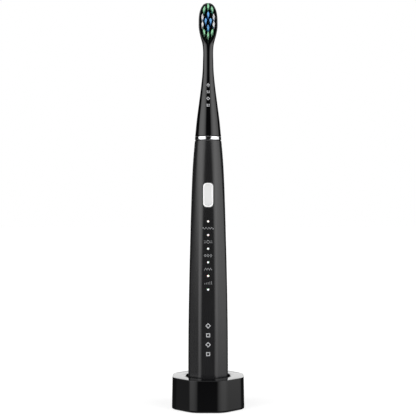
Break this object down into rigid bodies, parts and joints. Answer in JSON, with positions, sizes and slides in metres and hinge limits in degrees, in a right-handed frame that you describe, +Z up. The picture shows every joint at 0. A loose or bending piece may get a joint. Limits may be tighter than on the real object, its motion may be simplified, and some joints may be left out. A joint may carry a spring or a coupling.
{
  "type": "electric toothbrush on charger",
  "caption": "Slim faceted electric toothbrush with an oval brush head, standing upright on a low octagonal induction charger.",
  "frame": {"origin": "centre of the charger's resting face, on the surface it stands on", "axes": "+Z up along the brush, -Y towards the front with the button and the bristles, +X to the right seen from the front"},
  "size_m": [0.0466, 0.0466, 0.2624],
  "materials": {
    "gloss_black_shell": "piano black ABS, polished mould",
    "satin_black_shell": "black ABS with a soft satin coat",
    "chrome_trim": "bright chrome plate",
    "steel": "plain ground steel",
    "nickel": "nickel plate",
    "copper_wire": "enamelled copper winding",
    "bronze": "sintered bronze",
    "ferrite": "pressed ferrite, matt",
    "black_rubber": "moulded black rubber",
    "grey_rubber": "moulded grey silicone",
    "white_acetal": "natural acetal",
    "frame_plastic": "grey glass-filled nylon",
    "switch_plastic": "black switch housing",
    "circuit_board": "solder-masked glass epoxy",
    "cell_wrap": "shrink-wrapped cell can",
    "light_guide": "clear acrylic",
    "bristle_green": "green nylon filaments",
    "bristle_blue": "blue nylon filaments",
    "bristle_white": "white nylon filaments"
  },
  "bodies": {
    "charger": {"base_housing": "gloss_black_shell", "base_pad": "black_rubber", "base_plate": "satin_black_shell", "base_screw_1": "steel", "base_screw_2": "steel", "base_screw_3": "steel", "cable_gland": "black_rubber", "charger_board": "circuit_board", "charger_coil": "copper_wire", "charger_core": "ferrite"},
    "handle": {"battery_cell": "cell_wrap", "battery_contact_lower": "nickel", "battery_contact_upper": "nickel", "battery_cradle": "frame_plastic", "bottom_cap": "satin_black_shell", "bottom_seal": "black_rubber", "button_membrane": "grey_rubber", "control_board": "circuit_board", "damper_ring": "black_rubber", "drive_carrier": "frame_plastic", "front_bearing": "bronze", "handle_shell": "satin_black_shell", "light_guide": "light_guide", "motor_can": "steel", "nose_bush": "white_acetal", "rear_bearing": "bronze", "receiver_coil": "copper_wire", "receiver_core": "ferrite", "return_spring": "steel", "shaft_seal": "black_rubber", "stator_coil_lower": "copper_wire", "stator_coil_upper": "copper_wire", "stator_core": "steel", "switch_body": "switch_plastic"},
    "button": {"button_cap": "chrome_trim", "switch_plunger": "white_acetal"},
    "drive": {"drive_shaft": "steel", "rotor_yoke": "steel", "magnet_left": "nickel", "magnet_right": "nickel"},
    "brush_head": {"brush_head_shell": "gloss_black_shell", "shaft_socket": "white_acetal", "socket_clip": "steel", "head_ring": "chrome_trim", "bristle_tuft_01": "bristle_green", "bristle_tuft_02": "bristle_green", "bristle_tuft_03": "bristle_green", "bristle_tuft_04": "bristle_blue", "bristle_tuft_05": "bristle_white", "bristle_tuft_06": "bristle_white", "bristle_tuft_07": "bristle_blue", "bristle_tuft_08": "bristle_blue", "bristle_tuft_09": "bristle_white", "bristle_tuft_10": "bristle_white", "bristle_tuft_11": "bristle_blue", "bristle_tuft_12": "bristle_green", "bristle_tuft_13": "bristle_green", "bristle_tuft_14": "bristle_green"}
  },
  "joints": [
    {"name": "handle_lift", "type": "slide", "parent": "charger", "child": "handle", "axis": [0, 0, 1], "range_m": [0, 0.03]},
    {"name": "button_press", "type": "slide", "parent": "handle", "child": "button", "axis": [0, 0.9994, -0.035], "range_m": [0, 0.0005], "stiffness_N_per_m": 200, "springref_m": -0.005},
    {"name": "shaft_oscillation", "type": "hinge", "parent": "handle", "child": "drive", "pos_m": [0, 0, 0.16], "axis": [0, 0, 1], "range_deg": [-3.5, 3.5], "stiffness_Nm_per_rad": 0.01},
    {"name": "head_pull", "type": "slide", "parent": "drive", "child": "brush_head", "axis": [0, 0, 1], "range_m": [0, 0.025]}
  ]
}
